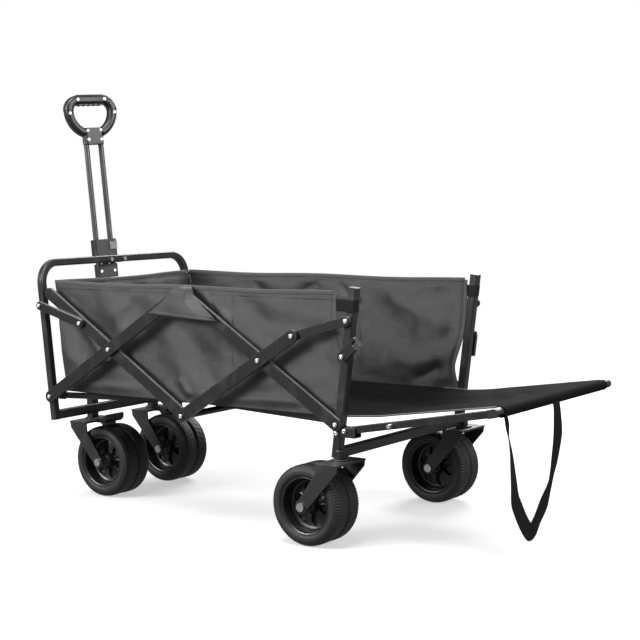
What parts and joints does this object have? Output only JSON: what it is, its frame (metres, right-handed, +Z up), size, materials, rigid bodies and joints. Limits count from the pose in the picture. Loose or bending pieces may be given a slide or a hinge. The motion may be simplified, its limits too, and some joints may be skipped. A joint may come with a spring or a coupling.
{
  "type": "folding camp wagon",
  "caption": "Folding camp wagon: fabric tub on scissor side arms, four swivel casters, telescoping pull handle and a drop tailgate with a hanging strap.",
  "frame": {"origin": "ground level, under the middle of the overall box", "axes": "+X from the handle end towards the tailgate, +Y to the far side, +Z up"},
  "size_m": [1.2457, 0.574, 0.9128],
  "materials": {
    "frame_paint": "satin powder coat",
    "arm_paint": "satin powder coat",
    "fork_paint": "satin powder coat",
    "bright_steel": "zinc plated",
    "fabric": "coated woven polyester",
    "webbing": "woven webbing",
    "plastic": "moulded, satin",
    "button": "moulded, satin",
    "tyre": "matt tread"
  },
  "bodies": {
    "front_frame": {"front_u_frame": "frame_paint", "front_crossbar": "frame_paint", "handle_clip": "plastic", "front_rivets": "bright_steel", "front_wall": "fabric", "side_wall_near": "fabric", "side_wall_far": "fabric", "floor_panel": "fabric", "fabric_flaps": "fabric"},
    "front_outer_arms": {"arms_a": "arm_paint", "rivets_a": "bright_steel"},
    "front_inner_arms": {"arms_b": "arm_paint", "lower_cross_tube": "frame_paint"},
    "rear_inner_arms": {"arms_d": "arm_paint", "rivets_d": "bright_steel"},
    "rear_outer_arms": {"arms_c": "arm_paint"},
    "front_short_links": {"front_links": "arm_paint"},
    "rear_short_links": {"rear_links": "arm_paint"},
    "rear_frame": {"rear_posts": "frame_paint", "rear_crossbar": "frame_paint", "tail_brackets": "frame_paint", "rear_rivets": "bright_steel", "post_loops": "webbing"},
    "latch_n": {"latch_near": "arm_paint"},
    "latch_f": {"latch_far": "arm_paint"},
    "tailgate": {"tail_arms": "arm_paint", "tail_tube": "frame_paint", "tail_caps": "plastic", "tail_panel": "fabric", "tail_pins": "bright_steel"},
    "strap": {"pull_strap": "webbing"},
    "front_base": {"base_bars_front": "frame_paint", "base_hub": "plastic"},
    "rear_base": {"base_bars_rear": "frame_paint"},
    "drawbar": {"drawbar_tube": "arm_paint", "handle_collar": "plastic"},
    "button": {"collar_button": "button"},
    "handle_slider": {"handle_rods": "arm_paint", "slide_block": "plastic", "grip_front": "plastic", "grip_back": "plastic", "handle_screws": "bright_steel"},
    "caster_fn": {"fork_fn": "fork_paint", "axle_fn": "bright_steel"},
    "wheel_fn": {"tyre_fn": "tyre", "rim_fn": "plastic"},
    "brake_fn": {"pedal_near": "plastic"},
    "caster_ff": {"fork_ff": "fork_paint", "axle_ff": "bright_steel"},
    "wheel_ff": {"tyre_ff": "tyre", "rim_ff": "plastic"},
    "brake_ff": {"pedal_far": "plastic"},
    "caster_rn": {"fork_rn": "fork_paint", "axle_rn": "bright_steel"},
    "wheel_rn": {"tyre_rn": "tyre", "rim_rn": "plastic"},
    "caster_rf": {"fork_rf": "fork_paint", "axle_rf": "bright_steel"},
    "wheel_rf": {"tyre_rf": "tyre", "rim_rf": "plastic"}
  },
  "joints": [
    {"name": "fold", "type": "hinge", "parent": "front_frame", "child": "front_outer_arms", "pos_m": [-0.49144, 0, 0.239], "axis": [0, -1, 0], "range_deg": [0, 41.8], "deforming": ["side_wall_near", "side_wall_far", "floor_panel", "fabric_flaps"]},
    {"name": "front_crossing", "type": "hinge", "parent": "front_outer_arms", "child": "front_inner_arms", "pos_m": [-0.31205, 0, 0.35197], "axis": [0, -1, 0], "range_deg": [-83.7, 0.1]},
    {"name": "top_pivot", "type": "hinge", "parent": "front_outer_arms", "child": "rear_inner_arms", "pos_m": [-0.1115, 0, 0.47826], "axis": [0, -1, 0], "range_deg": [-83.7, 0.1]},
    {"name": "rear_crossing", "type": "hinge", "parent": "rear_inner_arms", "child": "rear_outer_arms", "pos_m": [0.08905, 0, 0.35197], "axis": [0, -1, 0], "range_deg": [-0.1, 83.7]},
    {"name": "rear_post_pivot", "type": "hinge", "parent": "rear_inner_arms", "child": "rear_frame", "pos_m": [0.26844, 0, 0.239], "axis": [0, -1, 0], "range_deg": [-0.1, 41.9]},
    {"name": "front_link", "type": "hinge", "parent": "front_frame", "child": "front_short_links", "pos_m": [-0.51643, 0, 0.438], "axis": [0, -1, 0], "range_deg": [-0.1, 76.99]},
    {"name": "rear_link", "type": "hinge", "parent": "rear_frame", "child": "rear_short_links", "pos_m": [0.29499, 0, 0.438], "axis": [0, -1, 0], "range_deg": [-76.99, 0.1]},
    {"name": "front_base_bars", "type": "hinge", "parent": "front_frame", "child": "front_base", "pos_m": [-0.47744, 0, 0.24], "axis": [0, -1, 0], "range_deg": [-0.1, 72.68]},
    {"name": "rear_base_bars", "type": "hinge", "parent": "rear_frame", "child": "rear_base", "pos_m": [0.24444, 0, 0.241], "axis": [0, -1, 0], "range_deg": [-72.68, 0.1]},
    {"name": "tail_hinge", "type": "hinge", "parent": "rear_frame", "child": "tailgate", "pos_m": [0.28444, 0, 0.227], "axis": [0, -1, 0], "range_deg": [0, 72]},
    {"name": "strap_hang", "type": "hinge", "parent": "tailgate", "child": "strap", "pos_m": [0.60508, 0, 0.28585], "axis": [0, -1, 0], "range_deg": [-72.1, 0.1]},
    {"name": "latch_turn_near", "type": "hinge", "parent": "rear_frame", "child": "latch_n", "pos_m": [0.28592, -0.2455, 0.37], "axis": [0, 1, 0], "range_deg": [-4, 112]},
    {"name": "latch_turn_far", "type": "hinge", "parent": "rear_frame", "child": "latch_f", "pos_m": [0.28592, 0.2455, 0.37], "axis": [0, 1, 0], "range_deg": [-143, 0]},
    {"name": "handle_swing", "type": "hinge", "parent": "front_frame", "child": "drawbar", "pos_m": [-0.52444, 0, 0.2], "axis": [0, -1, 0], "range_deg": [0, 84]},
    {"name": "rod_slide", "type": "slide", "parent": "drawbar", "child": "handle_slider", "axis": [0.1045, 0, -0.9945], "range_m": [0, 0.215]},
    {"name": "button_press", "type": "slide", "parent": "drawbar", "child": "button", "axis": [-0.9155, 0.3907, -0.0962], "range_m": [0, 0.003], "stiffness_N_per_m": 300},
    {"name": "swivel_fn", "type": "hinge", "parent": "front_frame", "child": "caster_fn", "pos_m": [-0.51144, -0.102, 0.168], "axis": [0, 0, 1], "continuous": true},
    {"name": "roll_fn", "type": "hinge", "parent": "caster_fn", "child": "wheel_fn", "pos_m": [-0.45144, -0.102, 0.08], "axis": [0, 1, 0], "continuous": true},
    {"name": "brake_fn", "type": "hinge", "parent": "caster_fn", "child": "brake_fn", "pos_m": [-0.48044, -0.102, 0.1705], "axis": [0, 1, 0], "range_deg": [0, 4]},
    {"name": "swivel_ff", "type": "hinge", "parent": "front_frame", "child": "caster_ff", "pos_m": [-0.51144, 0.102, 0.168], "axis": [0, 0, 1], "continuous": true},
    {"name": "roll_ff", "type": "hinge", "parent": "caster_ff", "child": "wheel_ff", "pos_m": [-0.45144, 0.102, 0.08], "axis": [0, 1, 0], "continuous": true},
    {"name": "brake_ff", "type": "hinge", "parent": "caster_ff", "child": "brake_ff", "pos_m": [-0.48044, 0.102, 0.1705], "axis": [0, 1, 0], "range_deg": [0, 4]},
    {"name": "swivel_rn", "type": "hinge", "parent": "rear_frame", "child": "caster_rn", "pos_m": [0.27044, -0.234, 0.168], "axis": [0, 0, 1], "continuous": true},
    {"name": "roll_rn", "type": "hinge", "parent": "caster_rn", "child": "wheel_rn", "pos_m": [0.21044, -0.234, 0.08], "axis": [0, 1, 0], "continuous": true},
    {"name": "swivel_rf", "type": "hinge", "parent": "rear_frame", "child": "caster_rf", "pos_m": [0.27044, 0.234, 0.168], "axis": [0, 0, 1], "continuous": true},
    {"name": "roll_rf", "type": "hinge", "parent": "caster_rf", "child": "wheel_rf", "pos_m": [0.21044, 0.234, 0.08], "axis": [0, 1, 0], "continuous": true}
  ],
  "couplings": [
    {"joint": "front_crossing", "follows": "fold", "ratio": -2},
    {"joint": "top_pivot", "follows": "fold", "ratio": -2},
    {"joint": "rear_crossing", "follows": "fold", "ratio": 2},
    {"joint": "rear_post_pivot", "follows": "fold", "ratio": 1},
    {"joint": "front_link", "follows": "fold", "ratio": 1.837},
    {"joint": "rear_link", "follows": "fold", "ratio": -1.837},
    {"joint": "front_base_bars", "follows": "fold", "ratio": 1.734},
    {"joint": "rear_base_bars", "follows": "fold", "ratio": -1.734},
    {"joint": "strap_hang", "follows": "tail_hinge", "ratio": -1}
  ]
}
